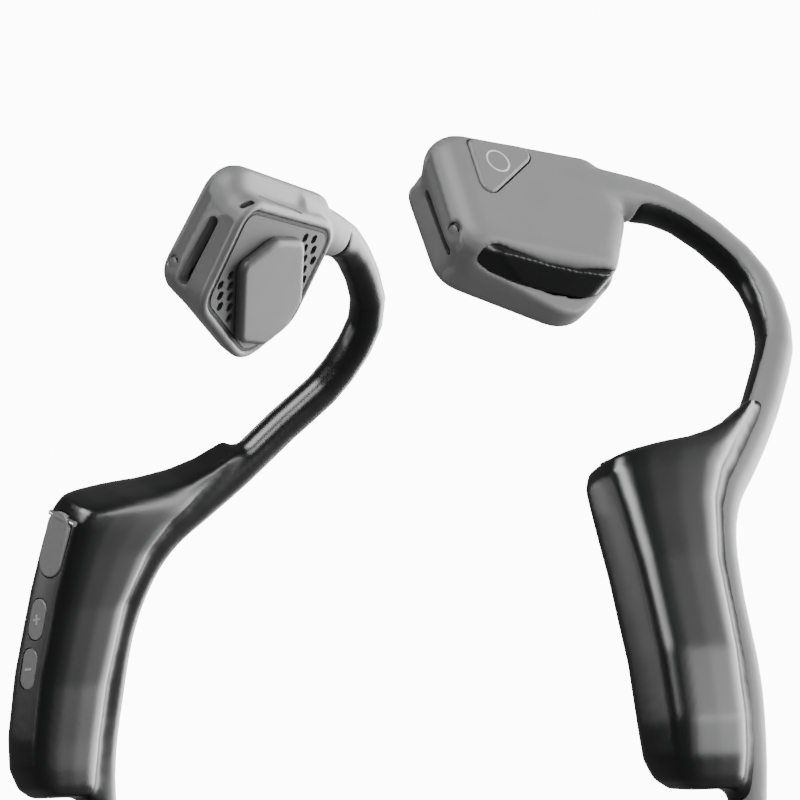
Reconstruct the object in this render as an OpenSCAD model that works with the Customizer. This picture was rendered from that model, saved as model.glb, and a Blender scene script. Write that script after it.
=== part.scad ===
// Open-ear bone conduction headphones: two transducer heads on sprung ear hooks, two pods and a
// neckband. The left pod holds the battery and the right pod the main board.
// X points to the wearer's left, Y to the back and Z up. The heads and pods stand on Z = 0.

/* [Overall] */
// Length from the front of the heads to the back of the neckband
overall_length = 146; // [122:1:178]
// Distance between the middles of the two pods where they are widest
pod_spread = 125; // [104:1:150]
// Height of the ear hooks' centre line above the table
hook_apex = 48.3; // [44:0.5:58]

/* [Ear hooks and neckband] */
// Half width of a hook's section, across the head
hook_half_w = 2.6; // [2:0.1:3.2]
// Half depth of a hook's section, from the ear to the top
hook_half_d = 2.6; // [2.2:0.1:3.2]
// Half thickness of the neckband
band_half_w = 1.9; // [1.5:0.1:2.6]
// Half height of the neckband
band_half_d = 2.5; // [2:0.1:3.2]
// Diameter of the titanium wires
wire_d = 1.2; // [0.8:0.1:1.6]
// Gap between a skin and the pieces that it covers
skin_gap = 0.06; // [0.04:0.01:0.15]

/* [Heads] */
// Angle by which the heads turn in towards the front
toe_in = 32; // [20:1:40]
// Wall of the head shells
head_wall = 1.3; // [1:0.1:1.6]
// Width of the shell's rim around the inner cover
rim = 1.2; // [1.2:0.1:2]
// Width of the rubber gasket around the inner cover
gasket_w = 0.5; // [0.4:0.1:0.8]
// Thickness of the inner cover
cover_t = 1.1; // [0.8:0.1:1.4]
// How far the contact pad stands out of the cover
pad_height = 1.5; // [0.8:0.1:2]
// Diameter of the transducer
transducer_d = 10; // [9:0.2:11]

/* [Pods] */
// Height of the strip's centre line above the table, along the pods
strip_height = 16.6; // [15:0.2:20]
// Half thickness of a pod
pod_half_t = 4.7; // [4.2:0.1:6]
// Wall of the pod shells
pod_wall = 1; // [0.8:0.1:1.2]
// Battery length, height and thickness
battery_l = 26; // [20:1:30]
battery_h = 8.4; // [7:0.2:10]
battery_t = 4.4; // [3.5:0.1:5]

/* [Controls] */
// Travel of the multifunction button
button_travel = 0.3; // [0.2:0.05:0.4]
// Gap around each button
button_gap = 0.2; // [0.12:0.02:0.3]
// Length of a volume button
volume_l = 6; // [5:0.2:7]
// Width of the volume buttons
volume_w = 3; // [2.4:0.1:3.4]
// Length of the charging port's cover
port_l = 9.6; // [9:0.2:11]
// Width of the charging port's cover
port_w = 4.4; // [4:0.1:5]

/* [Hidden] */

slate = [0.42, 0.43, 0.44];
soft_black = [0.07, 0.07, 0.08];
steel = [0.72, 0.73, 0.75];
rubber_black = [0.12, 0.12, 0.13];

half_spread = pod_spread / 2;
half_length = overall_length / 2;
// Distances back from the front are measured from this far ahead of the heads
front_margin = 1.7;
front_line = half_length + front_margin;
wire_r = wire_d / 2;
ring_steps = 20;

// ---- The arm's centre line, from the head over the ear and along the pod ----
// Each row: distance in from the pod plane, distance back from the front, share of the hook's
// rise above the strip, half width and half depth there as shares of the hook's, and the angle
// by which the section turns in.
arm_rows = [
  [37.5, 8, 0.10, 1.3, 1.7, 32],
  [34.6, 9.2, 0.42, 1.3, 1.3, 32],
  [31.1, 11.4, 0.716, 1.02, 1.02, 32],
  [25.7, 19.5, 0.984, 1, 1, 32],
  [19.9, 28.5, 0.94, 1, 1, 32],
  [15.5, 35.9, 0.722, 1, 1, 31],
  [12.6, 42.2, 0.517, 1, 1, 27],
  [10.4, 47, 0.338, 1, 1, 24],
  [8.6, 51.3, 0.177, 1, 1, 22],
  [6.6, 56.7, 0.069, 1, 1, 20],
  [3.9, 64.5, 0.01, 1, 1, 17],
  [1.2, 74.8, 0, 1, 1, 10],
  [0, 84, -0.02, 1, 1, 3],
  [0.2, 93, -0.02, 0.9, 1, 0]
];
arm = [for (r = arm_rows) [
  half_spread - r[0],
  r[1] - front_line,
  strip_height + r[2] * (hook_apex - strip_height),
  r[3] * hook_half_w,
  r[4] * hook_half_d,
  r[5] * toe_in / 32
]];
// Shares of the arm where the head ends and where the band starts
arm_head_end = 1.35 / 13;
arm_wire_start = 1.1 / 13;
arm_wire_end = 10 / 13;
arm_end = 1;

function lerp(a, b, t) = a + (b - a) * t;
function unit(v) = v / norm(v);
function xyz(v) = [v[0], v[1], v[2]];

// Point on the smooth curve through pts, with share u from 0 to 1
function spline(pts, u) =
  let (n = len(pts) - 1, s = min(max(u, 0), 1) * n, i = min(floor(s), n - 1), t = s - i)
  let (b = pts[i], c = pts[i + 1])
  let (a = i > 0 ? pts[i - 1] : 2 * b - c, d = i < n - 1 ? pts[i + 2] : 2 * c - b)
  0.5 * (2 * b + (c - a) * t + (2 * a - 5 * b + 4 * c - d) * t * t
    + (3 * b - a - 3 * c + d) * t * t * t);

// Frame at share u: centre, outward side, top side, half width, half depth
function frame_at(pts, u) =
  let (p = spline(pts, u))
  let (ahead = unit(xyz(spline(pts, u + 0.004) - spline(pts, u - 0.004))))
  let (top = unit(cross([cos(p[5]), -sin(p[5]), 0], ahead)))
  [xyz(p), cross(ahead, top), top, p[3], p[4]];

function at(frame, across, deep) = frame[0] + across * frame[1] + deep * frame[2];

// Closed oval section of a frame, grown by extra
function oval(frame, extra = 0, steps = ring_steps) =
  [for (k = [0:steps - 1]) let (a = 360 * k / steps)
    at(frame, (frame[3] + extra) * cos(a), (frame[4] + extra) * sin(a))];

// Round section around a frame's centre
function round_ring(frame, r, steps, across = 0, deep = 0) =
  [for (k = [0:steps - 1]) let (a = 360 * k / steps)
    at(frame, across + r * cos(a), deep + r * sin(a))];

// One skin's section: from angle a0 to a1 on the oval, and back along a groove for the wire
skin_arc_steps = 8;
groove_steps = 4;
// Radius to the groove's corners, so that its flats keep the gap to the wire
function groove_r(a0, a1, gap) = (wire_r + gap) / cos((a1 - a0) / groove_steps / 2);
function skin_ring(frame, a0, a1, gap) = concat(
  [for (k = [0:skin_arc_steps]) let (a = lerp(a0, a1, k / skin_arc_steps))
    at(frame, frame[3] * cos(a), frame[4] * sin(a))],
  [for (k = [0:groove_steps]) let (a = lerp(a1, a0, k / groove_steps))
    at(frame, groove_r(a0, a1, gap) * cos(a), groove_r(a0, a1, gap) * sin(a))]);

// Closed solid through a list of rings that have equal numbers of points; a loop has no ends
module skin(rings, loop = false) {
  n = len(rings[0]);
  m = len(rings);
  last = loop ? m - 1 : m - 2;
  ends = loop ? [] : [[for (k = [n - 1:-1:0]) k], [for (k = [0:n - 1]) (m - 1) * n + k]];
  polyhedron(
    points = [for (r = rings) each r],
    faces = concat(
      [for (j = [0:last], k = [0:n - 1])
        [j * n + k, j * n + (k + 1) % n, (j + 1) % m * n + k]],
      [for (j = [0:last], k = [0:n - 1])
        [j * n + (k + 1) % n, (j + 1) % m * n + (k + 1) % n, (j + 1) % m * n + k]],
      ends
    )
  );
}

// Hulls between neighbouring rings, each ring a convex outline
module spans(rings) {
  for (i = [0:len(rings) - 2])
    hull() polyhedron(
      points = concat(rings[i], rings[i + 1]),
      faces = [
        [for (k = [0:len(rings[i]) - 1]) k],
        [for (k = [0:len(rings[i + 1]) - 1]) len(rings[i]) + k]
      ]
    );
}

module side(right) {
  if (right) mirror([1, 0, 0]) children();
  else children();
}

// ---- Ear hooks and neckband ----
band_start = spline(arm, 1);
band_rear_z = 14;
band_end_gap = 0.15;
band_angles = [for (k = [0:24]) lerp(band_end_gap, 180 - band_end_gap, k / 24)];
band_centre_y = band_start[1];
band_depth_y = half_length - band_half_w - band_centre_y;
function band_frame(angle) =
  let (
    c = cos(angle), s = sin(angle),
    run = unit([-band_start[0] * s, band_depth_y * c, 0]),
    z = lerp(band_start[2], band_rear_z, s * s),
    w = lerp(band_start[3], band_half_w, min(1, 4 * s)),
    d = lerp(band_start[4], band_half_d, min(1, 4 * s))
  )
  [
    [band_start[0] * c, band_centre_y + band_depth_y * s, z],
    [run[1], -run[0], 0], [0, 0, 1], w, d
  ];

// Angles on the section where the grey skin and the black skin meet, along the arm: the black
// side is wide where it leaves the head, narrow over the ear and a line along the pod
seam_step = 2;
function seam_outer(u) = lookup(u, [[0.1, -50], [0.3, -65], [0.54, -84], [0.65, -90]]);
function seam_inner(u) = lookup(u, [[0.1, 135], [0.3, 150], [0.54, 166], [0.65, 142]]);

function arm_frames(u0, u1, n) = [for (k = [0:n]) frame_at(arm, lerp(u0, u1, k / n))];

skin_steps = 32;
skin_shares = [for (k = [0:skin_steps]) lerp(arm_head_end, arm_end, k / skin_steps)];

module arm_wire() {
  shares = concat([arm_wire_start], [for (u = skin_shares) if (u < arm_wire_end) u]);
  color(steel) skin([for (u = shares) round_ring(frame_at(arm, u), wire_r, 8)]);
}

module outer_skin() {
  color(slate) skin([for (u = skin_shares)
    skin_ring(frame_at(arm, u), seam_outer(u) + seam_step, seam_inner(u) - seam_step, skin_gap)]);
}

module inner_skin() {
  color(soft_black) skin([for (u = skin_shares)
    skin_ring(frame_at(arm, u), seam_inner(u) + seam_step, seam_outer(u) + 360 - seam_step, skin_gap)]);
}

module neckband_wire() {
  color(steel) skin([for (a = band_angles) round_ring(band_frame(a), wire_r, 8)]);
}

module neckband_outer_skin() {
  color(slate) skin([for (a = band_angles)
    skin_ring(band_frame(a), -90 + seam_step, 90 - seam_step, skin_gap)]);
}

// The neckband's inner skin has a wider groove, where the two leads run beside the wire
lead_r = 0.35;
lead_across = -(wire_r + skin_gap + lead_r);
lead_groove = 2 * lead_r + 2 * skin_gap;
module neckband_inner_skin() {
  color(soft_black) skin([for (a = band_angles)
    skin_ring(band_frame(a), 90 + seam_step, 270 - seam_step, lead_groove)]);
}

module neckband_leads() {
  color("firebrick") skin([for (a = band_angles) round_ring(band_frame(a), lead_r, 6, lead_across)]);
}

// ---- Heads ----
// A head's own frame: X back along the head, Y in towards the cheek, Z up.
head_x = half_spread - 39.25;
head_y = 13.55 - front_line;
module head_place() {
  translate([head_x, head_y, 0]) rotate([0, 0, 90 - toe_in]) children();
}

// The two faces lean: y of a face is its value at the table less its lean times the height
inner_face_y = 4.9;
inner_lean = 0.22;
outer_face_y = -5.3;
outer_lean = 0.13;
inner_angle = atan(inner_lean);
outer_angle = atan(outer_lean);

// Corners of the two outlines, as distance back and height, and their corner radii
inner_corners = [[-9.9, 3.7], [7, 1.4], [17.1, 17.2], [11.2, 26.2], [-4.4, 28.6]];
inner_radii = [3.4, 4.5, 5, 5, 4];
outer_corners = [[-12.4, 3.6], [7, -0.1], [13, 23.2], [4.4, 29.4], [-6.4, 29]];
outer_radii = [4.5, 4, 3.4, 3, 3];
corner_steps = 4;

// Convex outline with each edge moved in by inset and each corner rounded
function edge_normal(a, b) = let (d = unit(b - a)) [-d[1], d[0]];
function meet(p, m, q, n) =
  let (det = m[0] * n[1] - m[1] * n[0], a = p * m, b = q * n)
  [(a * n[1] - b * m[1]) / det, (m[0] * b - n[0] * a) / det];
function inset_corner(pts, i, inset) =
  let (c = len(pts), a = pts[(i + c - 1) % c], b = pts[i], d = pts[(i + 1) % c])
  let (m = edge_normal(a, b), n = edge_normal(b, d))
  meet(b + m * inset, m, b + n * inset, n);
function rounded(pts, radii, inset = 0) = [
  for (i = [0:len(pts) - 1])
    let (
      c = len(pts),
      a = pts[(i + c - 1) % c], b = pts[i], d = pts[(i + 1) % c],
      m = edge_normal(a, b), n = edge_normal(b, d),
      r = max(radii[i] - inset, 0.4),
      o = inset_corner(pts, i, inset + r),
      a0 = atan2(-m[1], -m[0]),
      turn = (atan2(-n[1], -n[0]) - a0 + 720) % 360
    )
    for (k = [0:corner_steps]) let (t = a0 + turn * k / corner_steps) o + r * [cos(t), sin(t)]
];

// An outline laid on a leaning face, and moved from it by depth into the head
function on_inner(pts, depth) = [for (p = pts) [p[0], inner_face_y - inner_lean * p[1] - depth, p[1]]];
function on_outer(pts, depth) = [for (p = pts) [p[0], outer_face_y - outer_lean * p[1] + depth, p[1]]];
function inner_outline(inset) = rounded(inner_corners, inner_radii, inset);
function outer_outline(inset) = rounded(outer_corners, outer_radii, inset);

// Rounding of the outer face's edge: depth below the face and inset of the outline
outer_edge = [[4, 0], [2.3, 0], [1.1, 0.6], [0.35, 1.6], [0, 3]];
inner_half_depth = 3.5;

module head_block() {
  spans(concat(
    [on_inner(inner_outline(0.5), 0), on_inner(inner_outline(0), 0.6),
     on_inner(inner_outline(0), inner_half_depth)],
    [for (e = outer_edge) on_outer(outer_outline(e[1]), e[0])]
  ));
}

module head_cavity() {
  spans([
    on_inner(inner_outline(rim), -1),
    on_inner(inner_outline(rim), cover_t + 0.4),
    on_inner(inner_outline(rim + 0.3), inner_half_depth),
    on_outer(outer_outline(head_wall + 0.7), 3.6),
    on_outer(outer_outline(head_wall + 1.2), head_wall)
  ]);
}

// The neck that carries the shell up to the start of the hook, in the part's own frame
neck_steps = 4;
module neck() {
  spans([for (f = arm_frames(0, arm_head_end, neck_steps)) oval(f)]);
}

// Bore through the neck for the hook's wire and leads
function moved_frame(f, way) = [f[0] + way * cross(f[2], f[1]), f[1], f[2], f[3], f[4]];
module neck_bore() {
  last = frame_at(arm, arm_head_end);
  spans([for (f = concat(arm_frames(0.9 / 13, 1.2 / 13, 2), [moved_frame(last, -0.8), moved_frame(last, 0.8)]))
    round_ring(f, wire_r + skin_gap, 12)]);
}

// Slots and holes of the head shell: vent in the bottom, microphone hole, slit in the front
vent_l = 10.6;
vent_w = 1.3;
module slot_cut(length, width, depth) {
  hull() for (s = [-1, 1])
    translate([s * (length - width) / 2, 0, 0]) cylinder(d = width, h = depth, center = true, $fn = 16);
}

bottom_slope = 12;
module head_openings() {
  translate([0, 0, 1.9]) rotate([0, bottom_slope, 0]) slot_cut(vent_l, vent_w, 6);
  translate([-8.4, 2.6, 5.2]) rotate([0, 40, 0]) slot_cut(2.2, 1, 4);
  translate([-8.9, 0.2, 14]) rotate([0, -75, 0]) slot_cut(9.6, 0.5, 4);
}

// Black inlay in the hollow behind the outer face, and the groove that holds it
inlay_path = [[3.4, -2.6, 2.6], [8.4, -3.2, 6], [11.4, -3.9, 12], [12.7, -4.4, 17.4], [12.3, -4.9, 22.2]];
inlay_r = 1.9;
module inlay_chain(extra) {
  for (i = [0:len(inlay_path) - 2])
    hull() for (p = [inlay_path[i], inlay_path[i + 1]])
      translate(p) sphere(r = inlay_r + extra, $fn = 16);
}

// The multifunction button's outline on the outer face
button_corners = [[-9.7, 7.6], [0.9, 5.6], [-7.1, 19.2]];
button_radius = 1.4;
button_out = 0.35;
function button_outline(inset) = rounded(button_corners, [for (c = button_corners) button_radius], inset);
button_centre = [-5.1, 10.9];

module head_shell(right) {
  color(slate) difference() {
    union() {
      head_place() head_block();
      neck();
    }
    head_place() {
      head_cavity();
      head_openings();
      inlay_chain(skin_gap);
      if (!right) spans([
        on_outer(button_outline(-button_gap), -3),
        on_outer(button_outline(-button_gap), head_wall + 1)
      ]);
    }
    neck_bore();
  }
}

module head_inlay() {
  color(soft_black) head_place() intersection() {
    inlay_chain(0);
    head_inlay_limit();
  }
}

// The inlay is flush with a slightly hollow surface, inside the shell's own outline
module head_inlay_limit() {
  difference() {
    union() {
      spans([on_inner(inner_outline(0.3), 0), on_outer(outer_outline(0.3), 0)]);
    }
    head_cavity_grown();
  }
}
module head_cavity_grown() {
  spans([
    on_inner(inner_outline(rim - 0.1), 0),
    on_inner(inner_outline(rim + 0.2), inner_half_depth),
    on_outer(outer_outline(head_wall + 0.6), 3.6),
    on_outer(outer_outline(head_wall + 1.1), head_wall)
  ]);
}

// Inner cover with its two fields of holes beside the contact pad
cover_gap = 0.05;
hole_d = 1.3;
hole_pitch = 1.95;
pad_turn = 27;
// Each row: first hole as distance back and height, and the number of holes along the pad
hole_rows = [[[3.4, 4.7], 3], [[2, 6.2], 5], [[-2.9, 20.9], 5], [[-2.5, 23.2], 3]];

module cover_holes() {
  for (r = hole_rows, k = [0:r[1] - 1])
    let (p = r[0] + k * hole_pitch * [cos(pad_turn), sin(pad_turn)])
      hull() for (s = [-1, 1])
        translate([p[0] + s * 0.12, inner_face_y - inner_lean * p[1], p[1]])
          rotate([90, 0, 0]) cylinder(d = hole_d, h = 5, center = true, $fn = 6);
}

module head_cover() {
  color(slate) difference() {
    head_place() spans([
      on_inner(inner_outline(rim + gasket_w + 2 * cover_gap), 0.1),
      on_inner(inner_outline(rim + gasket_w + 2 * cover_gap), 0.1 + cover_t)
    ]);
    head_place() cover_holes();
  }
}

module head_gasket() {
  color(rubber_black) head_place() difference() {
    spans([
      on_inner(inner_outline(rim + cover_gap), 0.2),
      on_inner(inner_outline(rim + cover_gap), 0.1 + cover_t)
    ]);
    spans([
      on_inner(inner_outline(rim + gasket_w + cover_gap), -1),
      on_inner(inner_outline(rim + gasket_w + cover_gap), 3)
    ]);
  }
}

// Contact pad: the raised part that rests on the cheekbone
pad_corners = [[0.2, 6.4], [12.6, 12.8], [13.6, 19.4], [11.2, 23], [6.6, 24.6], [-3.2, 19.6], [-3.8, 12.4]];
pad_radii = [1.6, 2.4, 3, 3, 2, 2.4, 3.4];
module contact_pad() {
  color(slate) head_place() spans([
    on_inner(rounded(pad_corners, pad_radii, 0), 0.05),
    on_inner(rounded(pad_corners, pad_radii, 0.1), -pad_height + 0.5),
    on_inner(rounded(pad_corners, pad_radii, 0.7), -pad_height)
  ]);
}

// ---- Transducer, behind the contact pad: its frame has Z out of the pad's face ----
pad_centre = [3.2, 14.4];
module pad_place() {
  head_place()
    translate([pad_centre[0], inner_face_y - inner_lean * pad_centre[1], pad_centre[1]])
      rotate([inner_angle - 90, 0, 0]) children();
}

module ring(r_out, r_in, z0, z1) {
  translate([0, 0, z0]) difference() {
    cylinder(r = r_out, h = z1 - z0, $fn = 64);
    translate([0, 0, -1]) cylinder(r = r_in, h = z1 - z0 + 2, $fn = 64);
  }
}

plate_top = -(0.1 + cover_t + 0.1);
plate_t = 0.6;
coil_h = 1.3;
coil_t = 0.5;
air_gap = 0.3;
yoke_wall = 0.8;
yoke_h = 2.2;
transducer_r = transducer_d / 2;
coil_r = transducer_r - yoke_wall - air_gap;
magnet_r = coil_r - coil_t - air_gap;
yoke_top = plate_top - plate_t - air_gap;

module vibration_plate() {
  color(steel) pad_place() translate([0, 0, plate_top - plate_t]) cylinder(r = transducer_r, h = plate_t, $fn = 64);
}
module voice_coil() {
  color("peru") pad_place() ring(coil_r, coil_r - coil_t, plate_top - plate_t - coil_h, plate_top - plate_t);
}
module magnet() {
  color("dimgray") pad_place() translate([0, 0, yoke_top - yoke_h + yoke_wall])
    cylinder(r = magnet_r, h = yoke_h - yoke_wall - air_gap, $fn = 64);
}
module yoke() {
  color("silver") pad_place() difference() {
    translate([0, 0, yoke_top - yoke_h]) cylinder(r = transducer_r, h = yoke_h, $fn = 64);
    translate([0, 0, yoke_top - yoke_h + yoke_wall])
      cylinder(r = transducer_r - yoke_wall, h = yoke_h, $fn = 64);
  }
}
bracket_w = 0.6;
module transducer_bracket() {
  color("darkslategray") pad_place()
    ring(transducer_r + bracket_w, transducer_r + 0.03, yoke_top - yoke_h, yoke_top - 0.8);
}

// Microphone capsule behind the small hole at the front of the head
mic_size = [1.6, 1.5, 2];
module microphone() {
  color("goldenrod") head_place() translate([-5.9, 0.9, 8.4]) rotate([0, 12, 0]) cube(mic_size, center = true);
}

// ---- Multifunction button, its switch and its board, in the left head's outer wall ----
flange_r = 3.2;
flange_t = 0.4;
flange_depth = head_wall + 0.15;
switch_h = 0.6;
board_t = 0.4;
switch_depth = flange_depth + flange_t + button_travel + 0.1;
module button_place() {
  head_place()
    translate([button_centre[0], outer_face_y - outer_lean * button_centre[1], button_centre[1]])
      rotate([90 - outer_angle, 0, 0]) children();
}

module multifunction_button() {
  color(slate) head_place() spans([
    on_outer(button_outline(0), head_wall * 0.6),
    on_outer(button_outline(0), -button_out + 0.3),
    on_outer(button_outline(0.3), -button_out)
  ]);
  color(slate) button_place() translate([0, 0, -flange_depth - flange_t])
    cylinder(r = 2.6, h = flange_depth + flange_t - head_wall * 0.5, $fn = 48);
  color(slate) button_place() translate([0, 0, -flange_depth - flange_t])
    cylinder(r = flange_r, h = flange_t, $fn = 48);
}
module button_switch() {
  color(steel) button_place() translate([0, 0, -switch_depth - switch_h]) cylinder(r = 1.8, h = switch_h, $fn = 32);
}
module button_board() {
  color("darkgreen") button_place() translate([0, 0, -switch_depth - switch_h - board_t])
    cylinder(r = 2.6, h = board_t, $fn = 32);
}

// ---- Pods ----
// Rings along the arm: share along it, height of the bottom, share of the full thickness
pod_rows = [
  [5.5 / 13, 31.6, 0.5], [5.9 / 13, 26.6, 0.55], [6.2 / 13, 21.6, 0.62], [6.45 / 13, 15.6, 0.72],
  [6.6 / 13, 9.8, 0.81], [6.8 / 13, 4.6, 0.91], [6.95 / 13, 2.1, 0.96], [7.4 / 13, 0.9, 1],
  [8.3 / 13, 0.6, 1], [9.5 / 13, 0.4, 1], [10.7 / 13, 0.1, 1], [11.6 / 13, 0, 1],
  [12.1 / 13, 0.3, 0.94], [12.4 / 13, 1.6, 0.8], [12.55 / 13, 3.6, 0.55]
];
pod_lean = 0.07;
pod_power = 0.55;
pod_ring_steps = 10;
split_gap = 0.3;
pod_first = 4;
pod_last = len(pod_rows) - 2;

// Height of the pod's top edge under the strip at share u
function strip_slope(u) =
  let (run = xyz(spline(arm, u + 0.004) - spline(arm, u - 0.004)))
  norm(run) / norm([run[0], run[1]]);
function pod_top(u) = spline(arm, u)[2] - (hook_half_d + skin_gap) * strip_slope(u);

// Level outward direction of the arm at share u
function level_out(f) = unit([f[1][0], f[1][1]]);

function soft_power(v) = sign(v) * pow(abs(v), pod_power);

// Half a pod's section, on the outward (1) or inward (-1) side of the split
function pod_half_ring(row, way, wall, split) =
  let (
    f = frame_at(arm, row[0]),
    low = row[1] + wall, high = pod_top(row[0]) - wall,
    mid = (low + high) / 2, half_h = (high - low) / 2,
    half_t = pod_half_t * row[2] - wall
  )
  [for (k = [0:pod_ring_steps]) let (a = -90 + 180 * k / pod_ring_steps)
    let (z = mid + half_h * soft_power(sin(a)))
    let (w = way * (split + (half_t - split) * soft_power(cos(a))) - pod_lean * (strip_height - z))
    let (o = level_out(f))
    [f[0][0] + w * o[0], f[0][1] + w * o[1], z]];

function pod_rings(way, wall, split, first, last) =
  [for (i = [first:last]) pod_half_ring(pod_rows[i], way, wall, split)];

module pod_half(way) {
  difference() {
    spans(pod_rings(way, 0, split_gap / 2, 0, len(pod_rows) - 1));
    spans(pod_rings(way, pod_wall, -0.1, pod_first + 1, pod_last - 1));
  }
}

module pod_shell(right) {
  color(soft_black) difference() {
    pod_half(1);
    if (right) bottom_openings();
  }
}
module pod_cover(right) {
  color(soft_black) difference() {
    pod_half(-1);
    if (right) bottom_openings();
  }
}

// Gasket between the two halves of a pod: a square cord that follows their edge. The right one
// leaves out the lower edge, where the port and the buttons pass through.
gasket_t = split_gap - 0.04;
gasket_inset = 0.3;
gasket_mid = (gasket_inset + pod_wall) / 2;
gasket_half_h = (pod_wall - gasket_inset) / 2;
function gasket_point(row, z) =
  let (f = frame_at(arm, row[0]), o = level_out(f), w = -pod_lean * (strip_height - z))
  [[f[0][0] + w * o[0], f[0][1] + w * o[1], z], [o[0], o[1], 0]];
gasket_top = [for (i = [pod_first:pod_last]) let (r = pod_rows[i]) gasket_point(r, pod_top(r[0]) - gasket_mid)];
gasket_bottom = [for (i = [pod_last:-1:pod_first]) let (r = pod_rows[i]) gasket_point(r, r[1] + gasket_mid)];
function gasket_rings(path, loop) = [
  for (i = [0:len(path) - 1])
    let (
      n = len(path),
      before = path[loop ? (i + n - 1) % n : max(i - 1, 0)][0],
      after = path[loop ? (i + 1) % n : min(i + 1, n - 1)][0],
      p = path[i][0], out = path[i][1] * gasket_t / 2,
      across = unit(cross(out, after - before)) * gasket_half_h
    )
    [p + out - across, p + out + across, p - out + across, p - out - across]
];
module pod_gasket(right) {
  path = right ? gasket_top : concat(gasket_top, gasket_bottom);
  color(rubber_black) skin(gasket_rings(path, !right), !right);
}

// A pod's own frame at distance y from the front: X out, Y back, Z up from the table
function arm_share_at(y, u0 = 0.5, u1 = 1) =
  u1 - u0 < 0.0005 ? u0
  : let (m = (u0 + u1) / 2) spline(arm, m)[1] + front_line < y ? arm_share_at(y, m, u1) : arm_share_at(y, u0, m);
module pod_place(y, height) {
  f = frame_at(arm, arm_share_at(y));
  turn = atan2(f[1][1], f[1][0]);
  translate([f[0][0], f[0][1], 0]) rotate([0, 0, turn])
    translate([-pod_lean * (strip_height - height), 0, height]) children();
}

// Battery and its foam, in the left pod
battery_y = 67;
battery_z = 3;
foam_t = 0.5;
module battery() {
  color("lightsteelblue") pod_place(battery_y, battery_z + battery_h / 2)
    rotate([0, atan(pod_lean), 0]) cube([battery_t, battery_l, battery_h], center = true);
}
module battery_foam() {
  color("dimgray") pod_place(battery_y, battery_z + battery_h / 2)
    rotate([0, atan(pod_lean), 0])
      translate([battery_t / 2 + foam_t / 2 + 0.02, 0, 0]) cube([foam_t, battery_l - 6, battery_h - 2], center = true);
}

// Main board with its shield and antenna, in the right pod
board_l = 26;
board_h = 6.6;
main_board_t = 0.8;
board_y = 70.5;
board_z = 7.6;
module board_place() {
  pod_place(board_y, board_z) rotate([0, atan(pod_lean), 0]) children();
}
module main_board() {
  color("darkgreen") board_place() cube([main_board_t, board_l, board_h], center = true);
}
shield_size = [1.2, 10, 5.4];
module shield_can() {
  color("silver") board_place() translate([-(main_board_t + shield_size[0]) / 2, -2, 0]) cube(shield_size, center = true);
}
antenna_size = [0.8, 7, 3];
module antenna() {
  color("wheat") board_place() translate([-(main_board_t + antenna_size[0]) / 2, 8.5, 0]) cube(antenna_size, center = true);
}

// ---- Charging port, its cover, and the volume buttons, along the right pod's lower edge ----
port_y = 52.6;
// From the end of the port's cover to the middle of the plus button
port_to_plus = 5.8;
plus_y = port_y + port_l / 2 + port_to_plus;
button_pitch = volume_l + 1.1;
minus_y = plus_y + button_pitch;
control_depth = 0.8;
lip = 0.12;
module edge_place(y) {
  row = 0.65;
  pod_place(y, row) children();
}

// Obround block along the pod's edge, from height z0 to z1 above the edge
module edge_block(length, width, z0, z1) {
  translate([0, 0, z0]) hull() for (s = [-1, 1])
    translate([0, s * (length - width) / 2, 0]) cylinder(d = width, h = z1 - z0, $fn = 32);
}

// Cylinder across the port's cover, on its hinge line
module hinge_round(r, length) {
  edge_place(port_y) translate([-length / 2, hinge_y, hinge_z]) rotate([0, 90, 0])
    cylinder(r = r, h = length, $fn = 32);
}

module bottom_openings() {
  opening_w = port_w + 2 * button_gap;
  edge_place(port_y) edge_block(port_l + 2 * button_gap, opening_w, -3, control_depth + 0.1);
  edge_place(port_y) translate([-receptacle[0] / 2 - 0.1, -receptacle[1] / 2 - 0.1, -1])
    cube([receptacle[0] + 0.2, receptacle[1] + 0.2, receptacle[2] + 2.5]);
  hinge_round(hinge_y + port_l / 2 + 0.4, opening_w);
  hinge_round(hinge_r + hinge_gap, pin_l + 2 * hinge_gap);
  edge_place(lens_y) translate([0, 0, -1]) cylinder(r = lens_r + skin_gap, h = pod_wall + 2, $fn = 24);
  for (y = [plus_y, minus_y])
    edge_place(y) edge_block(volume_l + 2 * button_gap, volume_w + 2 * button_gap, -3, pod_wall + 2);
}

// Metal receptacle of the charging port: its mouth faces down
receptacle = [2.6, 7.4, 5];
receptacle_z = control_depth + 0.45;
module usb_receptacle() {
  color("silver") edge_place(port_y) difference() {
    translate([-receptacle[0] / 2, -receptacle[1] / 2, receptacle_z]) cube(receptacle);
    translate([-receptacle[0] / 2 + 0.4, -receptacle[1] / 2 + 0.4, receptacle_z - 1])
      cube([receptacle[0] - 0.8, receptacle[1] - 0.8, receptacle[2]]);
  }
}

// Cover of the charging port, hinged on a pin at its front end
hinge_r = 0.4;
hinge_gap = 0.05;
hinge_z = 0.45;
hinge_y = -port_l / 2 + 0.9;
pin_l = port_w + 1.2;
knuckle_r = 0.75;
knuckle_w = 2;
cover_thick = 0.7;
module port_cover() {
  color([0.62, 0.63, 0.64]) edge_place(port_y) difference() {
    union() {
      edge_block(port_l, port_w, -0.25, cover_thick - 0.25);
      translate([-knuckle_w / 2, hinge_y, hinge_z]) rotate([0, 90, 0])
        cylinder(r = knuckle_r, h = knuckle_w, $fn = 32);
    }
    translate([-port_w, hinge_y, hinge_z]) rotate([0, 90, 0])
      cylinder(r = hinge_r + hinge_gap, h = 2 * port_w, $fn = 32);
  }
}
module port_hinge_pin() {
  color(steel) hinge_round(hinge_r, pin_l);
}

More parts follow.
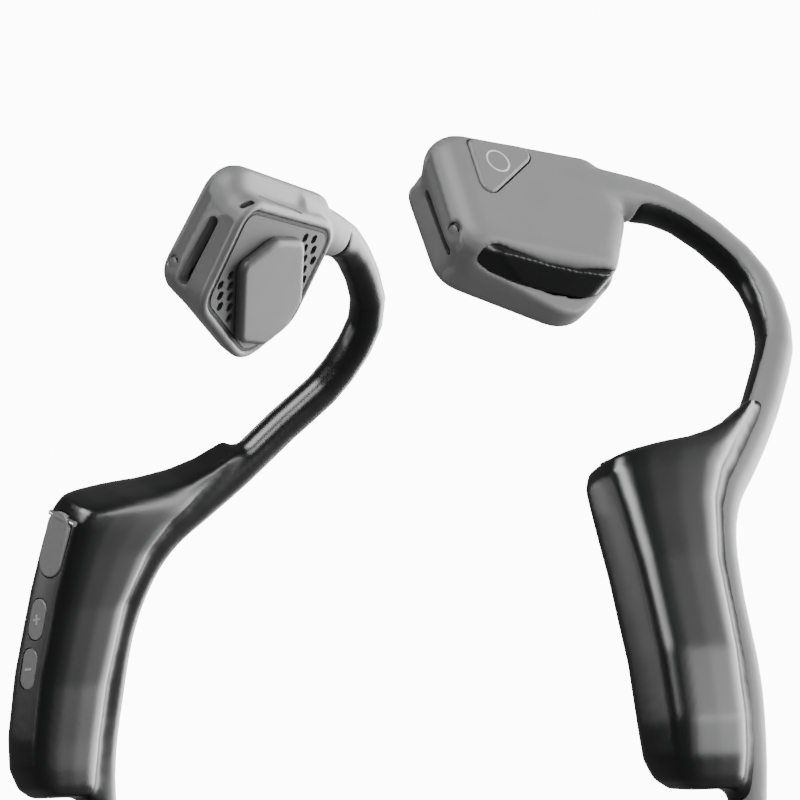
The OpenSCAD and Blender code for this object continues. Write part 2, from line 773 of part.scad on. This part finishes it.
// Volume buttons and the switches above them
volume_travel = 0.3;
button_top = pod_wall + 0.9;
volume_flange = 0.5;
module volume_button(y) {
  color([0.62, 0.63, 0.64]) edge_place(y) {
    edge_block(volume_l, volume_w, -0.35, button_top);
    edge_block(volume_l + 2 * volume_flange, volume_w + 2 * volume_flange, button_top - 0.4, button_top);
  }
}
module volume_switch(y) {
  color("silver") edge_place(y)
    translate([-1.2, -1.6, button_top + volume_travel + 0.1]) cube([2.4, 3.2, 0.9]);
}

lens_r = 0.6;
// From the end of the port's cover to the middle of the lens
port_to_lens = 2.2;
lens_y = port_y + port_l / 2 + port_to_lens;
module indicator_lens() {
  color("whitesmoke") edge_place(lens_y) translate([0, 0, 0.1]) cylinder(r = lens_r, h = pod_wall, $fn = 24);
}

neckband_wire();
neckband_outer_skin();
neckband_inner_skin();
neckband_leads();
side(false) arm_wire();  // left_hook_wire
side(true) arm_wire();  // right_hook_wire
side(false) outer_skin();  // left_outer_skin
side(true) outer_skin();  // right_outer_skin
side(false) inner_skin();  // left_inner_skin
side(true) inner_skin();  // right_inner_skin
side(false) head_shell(false);  // left_head_shell
side(true) head_shell(true);  // right_head_shell
side(false) head_cover();  // left_head_cover
side(true) head_cover();  // right_head_cover
side(false) head_gasket();  // left_head_gasket
side(true) head_gasket();  // right_head_gasket
side(false) contact_pad();  // left_contact_pad
side(true) contact_pad();  // right_contact_pad
side(false) head_inlay();  // left_head_inlay
side(true) head_inlay();  // right_head_inlay
side(false) vibration_plate();  // left_vibration_plate
side(true) vibration_plate();  // right_vibration_plate
side(false) voice_coil();  // left_voice_coil
side(true) voice_coil();  // right_voice_coil
side(false) magnet();  // left_magnet
side(true) magnet();  // right_magnet
side(false) yoke();  // left_yoke
side(true) yoke();  // right_yoke
side(false) transducer_bracket();  // left_transducer_bracket
side(true) transducer_bracket();  // right_transducer_bracket
side(false) microphone();  // left_microphone
side(true) microphone();  // right_microphone
multifunction_button();
button_switch();
button_board();
side(false) pod_shell(false);  // left_pod_shell
side(true) pod_shell(true);  // right_pod_shell
side(false) pod_cover(false);  // left_pod_cover
side(true) pod_cover(true);  // right_pod_cover
side(false) pod_gasket(false);  // left_pod_gasket
side(true) pod_gasket(true);  // right_pod_gasket
battery();
battery_foam();
side(true) main_board();
side(true) shield_can();
side(true) antenna();
side(true) usb_receptacle();
side(true) port_cover();
side(true) port_hinge_pin();
side(true) volume_button(plus_y);  // volume_plus_button
side(true) volume_button(minus_y);  // volume_minus_button
side(true) volume_switch(plus_y);  // volume_plus_switch
side(true) volume_switch(minus_y);  // volume_minus_switch
side(true) indicator_lens();
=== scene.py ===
# %% [markdown]
# # Bone conduction headphones
# A pair of heads rests on the cheekbones, an ear hook carries each head, and a springy band joins
# the two pods behind the neck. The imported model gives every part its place, so this lesson begins
# by loading it and keeping its box.

# %% Load the frame
import math

import bpy
from mathutils import Matrix, Vector


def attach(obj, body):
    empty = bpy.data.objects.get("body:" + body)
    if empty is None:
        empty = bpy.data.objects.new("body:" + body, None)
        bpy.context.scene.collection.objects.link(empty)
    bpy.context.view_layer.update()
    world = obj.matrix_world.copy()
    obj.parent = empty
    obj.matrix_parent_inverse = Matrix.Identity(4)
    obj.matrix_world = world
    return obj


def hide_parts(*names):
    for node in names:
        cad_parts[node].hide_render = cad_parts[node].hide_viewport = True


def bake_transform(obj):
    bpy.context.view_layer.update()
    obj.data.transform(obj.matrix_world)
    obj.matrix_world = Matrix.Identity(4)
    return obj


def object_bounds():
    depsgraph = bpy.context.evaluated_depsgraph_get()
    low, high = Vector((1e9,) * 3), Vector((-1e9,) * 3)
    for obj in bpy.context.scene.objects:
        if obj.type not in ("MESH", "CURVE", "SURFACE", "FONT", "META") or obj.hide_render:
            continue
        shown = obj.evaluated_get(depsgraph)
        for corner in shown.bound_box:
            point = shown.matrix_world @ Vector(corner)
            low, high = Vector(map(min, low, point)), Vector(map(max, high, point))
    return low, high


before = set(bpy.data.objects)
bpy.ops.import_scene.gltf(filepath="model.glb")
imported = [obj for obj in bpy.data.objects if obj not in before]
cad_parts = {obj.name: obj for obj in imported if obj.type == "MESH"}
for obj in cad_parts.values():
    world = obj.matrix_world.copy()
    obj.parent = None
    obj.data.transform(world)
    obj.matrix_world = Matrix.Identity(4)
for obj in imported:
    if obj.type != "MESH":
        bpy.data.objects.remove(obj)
cad_low, cad_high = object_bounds()
MM = 0.001
SIDES = ("left", "right")
print("box of the frame, mm:", [round(v / MM, 1) for v in cad_high - cad_low])

# %% [markdown]
# ## Camera
# A long lens from below and to one side shows the undersides of the pods and the faces of the
# heads together. The camera is placed by three things only: the point it looks at, the direction
# back from there, and which way is up in the picture.

# %% Camera
aim = Vector((0, -39.3, 17.3)) * MM
back = Vector((0.7071, 0.0580, -0.7047)).normalized()
roughly_up = Vector((0.0604, -0.9979, -0.0215))
camera_distance = 750 * MM
lens = 246.4

camera_data = bpy.data.cameras.new("camera")
camera_data.lens = lens
camera_data.clip_start, camera_data.clip_end = 0.01, 20
camera = bpy.data.objects.new("camera", camera_data)
bpy.context.scene.collection.objects.link(camera)
sideways = roughly_up.cross(back).normalized()
upright = back.cross(sideways)
camera.matrix_world = (
    Matrix.Translation(aim + back * camera_distance)
    @ Matrix((sideways, upright, back)).transposed().to_4x4()
)
bpy.context.scene.camera = camera
print("camera at, mm:", [round(v / MM) for v in camera.location])

# %% [markdown]
# ## Shader arithmetic
# A finish is easier to read as an expression than as a web of wires. `Wire` wraps one socket and
# lets ordinary operators add Math nodes. `Finish` owns one material: its `node` method adds any
# other node from its type, its settings and the values or wires of its inputs.

# %% Wires and finishes


class Wire:
    def __init__(self, tree, socket):
        self.tree, self.socket = tree, socket

    def math(self, operation, other=0.0, swapped=False):
        node = self.tree.nodes.new("ShaderNodeMath")
        node.operation = operation
        for index, value in enumerate((other, self) if swapped else (self, other)):
            if isinstance(value, Wire):
                self.tree.links.new(value.socket, node.inputs[index])
            else:
                node.inputs[index].default_value = value
        return Wire(self.tree, node.outputs[0])

    def __add__(self, other):
        return self.math("ADD", other)

    def __radd__(self, other):
        return self.math("ADD", other, swapped=True)

    def __sub__(self, other):
        return self.math("SUBTRACT", other)

    def __rmul__(self, other):
        return self.math("MULTIPLY", other, swapped=True)

    def __gt__(self, other):
        return self.math("GREATER_THAN", other)


class Finish:
    def __init__(self, name):
        self.material = bpy.data.materials.new(name)
        self.material.use_nodes = True
        self.tree = self.material.node_tree
        self.shader = self.tree.nodes["Principled BSDF"]
        self.output = self.tree.nodes["Material Output"]

    def node(self, kind, settings=None, output=0, **inputs):
        node = self.tree.nodes.new("ShaderNode" + kind)
        for key, value in (settings or {}).items():
            setattr(node, key, value)
        for key, value in inputs.items():
            self.feed(node.inputs[key.replace("_", " ")], value)
        return Wire(self.tree, node.outputs[output])

    def feed(self, socket, value):
        if isinstance(value, Wire):
            self.tree.links.new(value.socket, socket)
        else:
            socket.default_value = value

    def set(self, **inputs):
        for key, value in inputs.items():
            self.feed(self.shader.inputs[key.replace("_", " ")], value)

    def place(self):
        return self.node("TexCoord", output="Object")

    def noise(self, size, detail=3.0, roughness=0.5):
        return self.node("TexNoise", output="Fac", Vector=self.place(),
                         Scale=1 / size, Detail=detail, Roughness=roughness)

    def shades(self, factor, dark, light):
        mix = self.tree.nodes.new("ShaderNodeMix")
        mix.data_type = "RGBA"
        self.feed(mix.inputs["Factor"], factor)
        mix.inputs[6].default_value = (*dark, 1)
        mix.inputs[7].default_value = (*light, 1)
        return Wire(self.tree, mix.outputs[2])

    def bump(self, height, depth, strength=1.0):
        return self.node("Bump", Height=height, Distance=depth, Strength=strength)


print("finishes read object coordinates, in metres")

# %% [markdown]
# ## Silicone skin
# The grey of the heads, hooks and band is titanium wire overmoulded with soft silicone. It is
# matt with a faint sheen, and a very fine grain keeps its highlights wide. Two noises do it: one
# of a tenth of a millimetre for the grain, one of some millimetres for slight clouding.

# %% Silicone finishes


def silicone(name, dark, light, rough=0.5):
    finish = Finish(name)
    cloud = finish.noise(6 * MM, detail=2.0)
    fine = finish.noise(0.12 * MM, detail=2.0)
    finish.set(
        Base_Color=finish.shades(cloud, dark, light),
        Roughness=rough + 0.1 * fine - 0.05 * cloud,
        Normal=finish.bump(fine, 0.004 * MM, 0.6),
    )
    finish.shader.inputs["Specular IOR Level"].default_value = 0.42
    return finish.material


slate_skin = silicone("slate_silicone", (0.205, 0.205, 0.208), (0.232, 0.232, 0.235))
cover_skin = silicone("dark_slate_silicone", (0.088, 0.088, 0.090), (0.104, 0.104, 0.106), 0.55)
pad_skin = silicone("pad_silicone", (0.092, 0.092, 0.094), (0.108, 0.108, 0.110), 0.48)
gasket_skin = silicone("gasket_rubber", (0.006, 0.006, 0.006), (0.012, 0.012, 0.012), 0.6)
print("silicones:", slate_skin.name, cover_skin.name, pad_skin.name, gasket_skin.name)

# %% [markdown]
# ## Gloss black
# The pods and the inner side of the hooks are moulded in gloss black. A polished moulding is
# never quite even: its roughness drifts a little, and faint dust and hairlines catch the light.

# %% Black mouldings


def gloss_black(name, rough, depth):
    finish = Finish(name)
    drift = finish.noise(9 * MM, detail=2.0)
    dust = finish.noise(0.35 * MM, detail=4.0, roughness=0.7) > 0.71
    finish.set(
        Base_Color=finish.shades(0.25 * dust + 0.5 * drift, (0.004, 0.004, 0.0045), (0.012, 0.012, 0.013)),
        Roughness=rough + 0.06 * drift + 0.08 * dust,
        Normal=finish.bump(drift, depth, 0.25),
    )
    finish.shader.inputs["Specular IOR Level"].default_value = 0.34
    return finish.material


pod_black = gloss_black("gloss_black", 0.34, 0.02 * MM)
hook_black = gloss_black("satin_black", 0.24, 0.01 * MM)
print("black mouldings:", pod_black.name, hook_black.name)

# %% [markdown]
# ## Small metals, boards and wrap
# Nothing inside is seen until the heads or pods are opened, but each piece has its own finish:
# brushed steel, enamelled copper, a green board, and the wrap of the battery.

# %% Finishes of the inside


def metal(name, dark, light, rough):
    finish = Finish(name)
    wear = finish.noise(0.8 * MM, detail=4.0, roughness=0.65)
    fine = finish.noise(0.08 * MM, detail=2.0)
    finish.set(
        Base_Color=finish.shades(wear, dark, light),
        Roughness=rough + 0.15 * wear,
        Normal=finish.bump(fine, 0.003 * MM, 0.5),
    )
    finish.shader.inputs["Metallic"].default_value = 1.0
    return finish.material


def moulded(name, dark, light, rough, size=1.5 * MM):
    finish = Finish(name)
    cloud = finish.noise(size, detail=4.0, roughness=0.6)
    fine = finish.noise(0.1 * MM, detail=2.0)
    finish.set(
        Base_Color=finish.shades(cloud, dark, light),
        Roughness=rough + 0.15 * fine,
        Normal=finish.bump(fine, 0.005 * MM, 0.5),
    )
    return finish.material


steel = metal("steel", (0.42, 0.42, 0.43), (0.56, 0.56, 0.57), 0.28)
copper = metal("enamelled_copper", (0.45, 0.17, 0.07), (0.60, 0.26, 0.12), 0.35)
brass = metal("gold_plate", (0.55, 0.38, 0.12), (0.70, 0.50, 0.20), 0.30)
dark_iron = metal("magnet_plating", (0.16, 0.16, 0.17), (0.26, 0.26, 0.27), 0.32)
board_green = moulded("board_green", (0.006, 0.05, 0.02), (0.012, 0.09, 0.035), 0.35)
wrap_blue = moulded("battery_wrap", (0.20, 0.24, 0.30), (0.27, 0.32, 0.38), 0.40)
foam_grey = moulded("foam", (0.05, 0.05, 0.05), (0.09, 0.09, 0.09), 0.9, 0.4 * MM)
lead_red = moulded("lead_insulation", (0.20, 0.02, 0.02), (0.28, 0.03, 0.03), 0.45)
bracket_dark = moulded("bracket_nylon", (0.03, 0.045, 0.045), (0.05, 0.07, 0.07), 0.5)
key_silver = moulded("key_silver", (0.30, 0.30, 0.305), (0.36, 0.36, 0.365), 0.32)
mark_white = moulded("printed_mark", (0.62, 0.62, 0.62), (0.72, 0.72, 0.72), 0.5, 0.3 * MM)
print("finishes of the inside: 11")

# %% [markdown]
# ## Helpers for copies of the frame
# Most skins follow their CAD solid closely, so each begins as a copy of it. The copy is merged,
# and then either remeshed into small even cells and relaxed, which rounds its edges as a soft
# moulding's are, or turned into quads and subdivided where it is a long clean sweep.

# %% Copies, remeshing and sweeps


def alone(piece):
    bpy.ops.object.select_all(action="DESELECT")
    piece.select_set(True)
    bpy.context.view_layer.objects.active = piece


def in_edit(piece, *steps):
    alone(piece)
    bpy.ops.object.mode_set(mode="EDIT")
    bpy.ops.mesh.select_all(action="SELECT")
    for step in steps:
        step()
    bpy.ops.object.mode_set(mode="OBJECT")


def copied(name, *nodes):
    """One merged mesh piece that copies the given CAD nodes."""
    parts = []
    for node in nodes:
        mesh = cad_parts[node].data.copy()
        part = bpy.data.objects.new(name, mesh)
        bpy.context.scene.collection.objects.link(part)
        parts.append(part)
    alone(parts[0])
    for part in parts:
        part.select_set(True)
    if len(parts) > 1:
        bpy.ops.object.join()
    piece = bpy.context.view_layer.objects.active
    piece.name = name
    piece.data.materials.clear()
    in_edit(piece, lambda: bpy.ops.mesh.remove_doubles(threshold=0.002 * MM))
    return piece


def apply_modifier(piece, kind, **settings):
    alone(piece)
    bpy.ops.object.modifier_add(type=kind)
    modifier = piece.modifiers[-1]
    for key, value in settings.items():
        setattr(modifier, key, value)
    bpy.ops.object.modifier_apply(modifier=modifier.name)


def remeshed(piece, cell, relax):
    """Even cells all over, then relaxed: edges come out rounded."""
    apply_modifier(piece, "REMESH", mode="VOXEL", voxel_size=cell)
    apply_modifier(piece, "SMOOTH", factor=0.5, iterations=relax)
    alone(piece)
    bpy.ops.object.shade_smooth()
    return piece


def grown(piece, distance):
    """Moves the surface out along its normals, or in where the distance is negative."""
    apply_modifier(piece, "DISPLACE", strength=distance, mid_level=0.0)
    return piece


def filled(piece, cell, radius, relax):
    """Fills creases and small gaps to a round of the given radius: out, even cells, and back in."""
    apply_modifier(piece, "REMESH", mode="VOXEL", voxel_size=cell)
    grown(piece, radius)
    apply_modifier(piece, "REMESH", mode="VOXEL", voxel_size=cell)
    apply_modifier(piece, "SMOOTH", factor=0.5, iterations=4)
    grown(piece, -radius)
    return remeshed(piece, cell, relax)


def cut_by(piece, cutter):
    """Cuts the cutter out of the piece, and removes the cutter."""
    apply_modifier(piece, "BOOLEAN", object=cutter, operation="DIFFERENCE", solver="EXACT")
    bpy.data.objects.remove(cutter)
    return piece


def swept(piece, levels, keep_edges=0.6):
    """A clean sweep: back to quads, its long edges partly kept, and subdivided."""
    in_edit(
        piece,
        lambda: bpy.ops.mesh.tris_convert_to_quads(face_threshold=1.2, shape_threshold=3.1),
        lambda: bpy.ops.mesh.select_all(action="DESELECT"),
        lambda: bpy.ops.mesh.edges_select_sharp(sharpness=math.radians(50)),
        lambda: bpy.ops.transform.edge_crease(value=keep_edges),
    )
    apply_modifier(piece, "SUBSURF", levels=levels, render_levels=levels)
    alone(piece)
    bpy.ops.object.shade_smooth_by_angle(angle=math.radians(60))
    return piece


def finished(piece, body, finish, slot, *nodes):
    piece.data.materials.clear()
    piece.data.materials.append(finish)
    if nodes:
        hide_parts(*nodes)
    if body:
        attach(piece, body)
    print(f"{piece.name}: {len(piece.data.polygons)} faces")
    return piece


# %% [markdown]
# ## A head's own frame
# The vents and the microphone hole of a head are placed in the head's own frame: X
# runs back along the head, Y in towards the cheek and Z up. `in_head` carries such a place to
# the left head or, mirrored, to the right one.

# %% Head frame and rounded cutters
head_origin = Vector((23.25, -61.15, 0)) * MM
head_turn = math.radians(58)


def in_head(side):
    mirror = Matrix.Scale(-1 if side == "right" else 1, 4, (1, 0, 0))
    return mirror @ Matrix.Translation(head_origin) @ Matrix.Rotation(head_turn, 4, "Z")


def placed(piece, matrix):
    piece.data.transform(matrix @ piece.matrix_world)
    piece.matrix_world = Matrix.Identity(4)
    in_edit(piece, lambda: bpy.ops.mesh.normals_make_consistent(inside=False))
    return piece


def round_bar(name, length, width, depth):
    """A bar along X with round ends, for cutting a slot: a box whose upright edges are rounded."""
    bpy.ops.mesh.primitive_cube_add(size=1)
    bar = bpy.context.object
    bar.name = name
    bar.scale = (length * MM, width * MM, depth * MM)
    alone(bar)
    bpy.ops.object.transform_apply(scale=True)
    in_edit(bar, lambda: bpy.ops.mesh.select_all(action="DESELECT"))
    for edge in bar.data.edges:
        a, b = (bar.data.vertices[i].co for i in edge.vertices)
        edge.select = abs(a.z - b.z) > 0.5 * depth * MM
    alone(bar)
    bpy.ops.object.mode_set(mode="EDIT")
    bpy.ops.mesh.bevel(offset=0.499 * width * MM, segments=8)
    bpy.ops.object.mode_set(mode="OBJECT")
    return bar


print("head origin, mm:", [round(v / MM, 2) for v in head_origin])

# %% [markdown]
# ## Heads and hooks
# The grey silicone runs unbroken from the head's plate over the ear hook and along the top of
# the pod, so the head shell and the outer skin are joined and filled as one piece. The vent in
# the bottom, the microphone hole and the slit in front are cut afterwards, to stay crisp.

# %% Grey skins
OPENINGS = (
    # length, width, depth, place in the head, tip about Y in degrees
    (10.6, 1.3, 5, (0, 0, 1.9), 12),
    (2.2, 1.0, 4, (-8.4, 2.6, 5.2), 40),
    (9.6, 0.55, 3.2, (-8.9, 0.2, 14), -75),
)


def other_side(piece, name):
    """A mirrored copy of a left piece, for the right side."""
    twin = bpy.data.objects.new(name, piece.data.copy())
    bpy.context.scene.collection.objects.link(twin)
    twin.data.transform(Matrix.Scale(-1, 4, (1, 0, 0)))
    in_edit(twin, lambda: bpy.ops.mesh.normals_make_consistent(inside=False))
    return twin


right_skin = copied("right_grey_skin", "right_head_shell", "right_outer_skin")
filled(right_skin, 0.3 * MM, 0.9 * MM, 4)
grown(right_skin, 0.1 * MM)
for length, width, depth, place, tip in OPENINGS:
    bar = round_bar("slot", length, width, depth)
    bar.matrix_world = Matrix.Translation(Vector(place) * MM) @ Matrix.Rotation(math.radians(tip), 4, "Y")
    cut_by(right_skin, placed(bar, in_head("right")))
left_skin = other_side(right_skin, "left_grey_skin")

# %% [markdown]
# ## Recess for the button
# The left head holds the multifunction button. Its recess follows the button's own outline: a
# copy of the button, a little larger all round, is cut out of the skin.

# %% Button recess
button_gap = 0.28 * MM
recess = remeshed(copied("recess", "multifunction_button"), 0.2 * MM, 2)
grown(recess, button_gap)
cut_by(left_skin, recess)
for side, skin in zip(SIDES, (left_skin, right_skin)):
    alone(skin)
    bpy.ops.object.shade_smooth_by_angle(angle=math.radians(50))
    finished(skin, side + "_side", slate_skin, "slate_silicone", side + "_head_shell", side + "_outer_skin")

# %% [markdown]
# ## Black body of hook and pod
# The inner side of the hook flares into the pod without a crease. The two halves of the pod and
# both skins of the hook are joined, and their creases filled to a round of some millimetres. The
# grey skin lies a tenth of a millimetre proud of this body, which leaves a fine parting line.
# The left body is whole, so the right one begins as its mirror image, and the recesses for the
# port's lid, the two volume keys and the lamp are cut into it from copies of those parts.

# %% Black bodies
key_gap = 0.2 * MM
inlay_proud = 0.12 * MM
BLACK = ("_pod_shell", "_pod_cover", "_inner_skin")
left_black = copied("left_black_body", *["left" + part for part in BLACK + ("_outer_skin",)])
filled(left_black, 0.35 * MM, 1.6 * MM, 6)
right_black = other_side(left_black, "right_black_body")
for node in ("port_cover", "volume_plus_button", "volume_minus_button", "indicator_lens"):
    recess = remeshed(copied("recess", node), 0.15 * MM, 2)
    grown(recess, key_gap)
    cut_by(right_black, recess)
for side, black in zip(SIDES, (left_black, right_black)):
    alone(black)
    bpy.ops.object.shade_smooth_by_angle(angle=math.radians(40))
    finished(black, side + "_side", pod_black, "black_gloss", *[side + part for part in BLACK])
    inlay = remeshed(copied(side + "_inlay", side + "_head_inlay"), 0.2 * MM, 6)
    grown(inlay, inlay_proud)
    finished(inlay, side + "_side", pod_black, "black_gloss", side + "_head_inlay")

# %% [markdown]
# ## Pads, covers and gaskets
# The pad touches the cheekbone. Round it lies the cover with its two fields of sound holes, and
# a black gasket closes the gap to the shell.

# %% Pads and covers
for side in SIDES:
    body = side + "_side"
    pad = remeshed(copied(side + "_pad", side + "_contact_pad"), 0.2 * MM, 8)
    finished(pad, body, pad_skin, "pad_silicone", side + "_contact_pad")
    cover = copied(side + "_cover", side + "_head_cover")
    finished(cover, body, cover_skin, "slate_shell", side + "_head_cover")

# %% [markdown]
# ## Keys and port cover
# The multifunction button, the two volume keys and the lid of the charging port.

# %% Keys
button = remeshed(copied("round_cornered_button", "multifunction_button"), 0.15 * MM, 4)
finished(button, "multifunction_button", slate_skin, "slate_silicone", "multifunction_button")
for key in ("volume_plus_button", "volume_minus_button"):
    cap = remeshed(copied(key + "_cap", key), 0.1 * MM, 3)
    finished(cap, key, key_silver, "silver_paint", key)
lid = remeshed(copied("port_lid", "port_cover"), 0.1 * MM, 3)
finished(lid, "port_cover", key_silver, "silver_paint", "port_cover")

# %% [markdown]
# ## Marks on the keys
# A plain ring on the multifunction button, and a plus and a minus on the volume keys. Each mark
# lies on the outermost flat of its key, a hair above the surface like a printed ink.

# %% Marks
ring_radius = 1.7 * MM
ring_line = 0.14 * MM
# length and width of a stroke, and the thickness of the ink, in millimetres
stroke_length, stroke_width, ink = 1.4, 0.26, 0.05


def outer_face(node, outward):
    """A matrix at the middle of a key's outermost flat, with Z pointing out of it."""
    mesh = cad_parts[node].data
    facing = [p for p in mesh.polygons if p.normal.dot(outward) > 0.7]
    front = max(facing, key=lambda p: p.center.dot(outward))
    normal = front.normal.copy()
    reach = max(p.center.dot(normal) for p in facing)
    flat = [p for p in facing if p.normal.dot(normal) > 0.98 and p.center.dot(normal) > reach - 0.3 * MM]
    area = sum(p.area for p in flat)
    middle = sum((p.center * p.area for p in flat), Vector()) / area
    return Matrix.Translation(middle) @ normal.to_track_quat("Z", "Y").to_matrix().to_4x4()


def printed(name, key, matrix, *turns):
    """A mark made of thin strokes, one for each turn about the key's middle."""
    made = []
    for turn in turns:
        bar = round_bar(name, stroke_length, stroke_width, ink)
        made.append(placed(bar, matrix @ Matrix.Rotation(turn, 4, "Z")))
    alone(made[0])
    for bar in made:
        bar.select_set(True)
    if len(made) > 1:
        bpy.ops.object.join()
    return finished(made[0], key, mark_white, "silver_paint")


button_out = in_head("left").to_3x3() @ Vector((0, -1, 0))
button_face = outer_face("multifunction_button", button_out)
bpy.ops.mesh.primitive_torus_add(
    major_radius=ring_radius, minor_radius=ring_line, major_segments=64, minor_segments=8
)
ring = bpy.context.object
ring.name = "button_ring_mark"
ring.scale = (1, 1, 0.3)
alone(ring)
bpy.ops.object.transform_apply(scale=True)
finished(placed(ring, button_face), "multifunction_button", mark_white, "silver_paint")

key_out = Vector((0, 0, -1))
plus_face = outer_face("volume_plus_button", key_out)
minus_face = outer_face("volume_minus_button", key_out)
printed("plus_mark", "volume_plus_button", plus_face, 0, math.radians(90))
printed("minus_mark", "volume_minus_button", minus_face, 0)
print("ring at, mm:", [round(v / MM, 1) for v in button_face.translation])

# %% [markdown]
# ## Neckband
# The band bends at two places. Its skins, wire and leads are each cut in the middle into a left
# and a right half, and the halves of the skins are subdivided.


def band_half(name, node, side):
    piece = copied(name, node)
    way = 1 if side == "left" else -1
    in_edit(
        piece,
        lambda: bpy.ops.mesh.bisect(
            plane_co=(0, 0, 0), plane_no=(-way, 0, 0), clear_outer=True, use_fill=True
        ),
    )
    return piece


for side in SIDES:
    way = 1 if side == "left" else -1
    for part, finish, slot in (
        ("outer_skin", slate_skin, "slate_silicone"),
        ("inner_skin", hook_black, "black_gloss"),
        ("wire", steel, "titanium"),
        ("leads", lead_red, "lead_insulation"),
    ):
        node = "neckband_" + part
        piece = band_half(f"{side}_band_{part}", node, side)
        if part in ("outer_skin", "inner_skin"):
            swept(piece, 2)
        finished(piece, None, finish, slot, node)
        side + "_side"
        way * 38 * MM
        way * 62 * MM
        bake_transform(piece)

# %% [markdown]
# ## Floor and light
# The floor is a plain pale sheet under the headphones. It shows only from above: seen from
# below it lets the camera through, so the undersides can be looked at on white.

# %% Floor and lights
bpy.ops.mesh.primitive_plane_add(size=3, location=(0, 0, cad_low.z - 0.05 * MM))
floor = bpy.context.object
floor.name = "floor"
pale = Finish("pale_floor")
pale.set(Base_Color=pale.shades(pale.noise(40 * MM), (0.78, 0.78, 0.78), (0.82, 0.82, 0.82)))
pale.shader.inputs["Roughness"].default_value = 0.6
clear = pale.tree.nodes.new("ShaderNodeBsdfTransparent")
choice = pale.tree.nodes.new("ShaderNodeMixShader")
pale.feed(choice.inputs[0], pale.node("NewGeometry", output="Backfacing"))
pale.tree.links.new(pale.shader.outputs[0], choice.inputs[1])
pale.tree.links.new(clear.outputs[0], choice.inputs[2])
pale.tree.links.new(choice.outputs[0], pale.output.inputs["Surface"])
floor.data.materials.append(pale.material)
floor.visible_diffuse = floor.visible_glossy = False


def softbox(name, place, width, height, power):
    """A rectangular lamp at a place in millimetres that looks at the middle of the object."""
    data = bpy.data.lights.new(name, "AREA")
    data.shape, data.size, data.size_y, data.energy = "RECTANGLE", width * MM, height * MM, power
    lamp = bpy.data.objects.new(name, data)
    bpy.context.scene.collection.objects.link(lamp)
    lamp.location = Vector(place) * MM
    lamp.rotation_mode = "QUATERNION"
    lamp.rotation_quaternion = (lamp.location - aim).to_track_quat("Z", "Y")
    return lamp


def from_camera(right, up, away):
    """A place given as the camera sees it, in millimetres from the middle."""
    return (aim + (sideways * right + upright * up + back * away) * MM) / MM


softbox("key", from_camera(-60, 560, 420), 900, 420, 50)
softbox("side", from_camera(680, 60, 40), 160, 700, 6)
softbox("fill", from_camera(-640, 60, 120), 160, 700, 5)
softbox("overhead", (0, -100, 800), 700, 700, 20)

world = bpy.data.worlds.new("studio")
bpy.context.scene.world = world
world.use_nodes = True
sky = world.node_tree
for node in list(sky.nodes):
    sky.nodes.remove(node)
seen, lit = sky.nodes.new("ShaderNodeBackground"), sky.nodes.new("ShaderNodeBackground")
seen.inputs["Strength"].default_value = 12.0
lit.inputs["Strength"].default_value = 0.32
for shade in (seen, lit):
    shade.inputs["Color"].default_value = (1, 1, 1, 1)
path, either = sky.nodes.new("ShaderNodeLightPath"), sky.nodes.new("ShaderNodeMixShader")
sky.links.new(path.outputs["Is Camera Ray"], either.inputs[0])
sky.links.new(lit.outputs[0], either.inputs[1])
sky.links.new(seen.outputs[0], either.inputs[2])
sky.links.new(either.outputs[0], sky.nodes.new("ShaderNodeOutputWorld").inputs["Surface"])
print("four soft boxes and a white surround")

# %% [markdown]
# ## Carried-over parts
# What is left of the CAD keeps its shape and takes its finish here.

# %% Finishes of the carried-over parts
CARRIED = {
    "hook_wire": steel, "head_gasket": gasket_skin, "vibration_plate": steel, "voice_coil": copper,
    "magnet": dark_iron, "yoke": steel, "transducer_bracket": bracket_dark, "microphone": brass,
    "pod_gasket": gasket_skin,
}
SINGLE = {
    "button_switch": steel, "button_board": board_green, "battery": wrap_blue,
    "battery_foam": foam_grey, "main_board": board_green, "shield_can": steel, "antenna": brass,
    "usb_receptacle": steel, "port_hinge_pin": steel, "volume_plus_switch": dark_iron,
    "volume_minus_switch": dark_iron, "indicator_lens": mark_white,
}
carried = {f"{side}_{name}": finish for side in SIDES for name, finish in CARRIED.items()}
carried.update(SINGLE)
for name, finish in carried.items():
    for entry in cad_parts[name].material_slots:
        entry.material = finish
print("carried over:", len(carried))
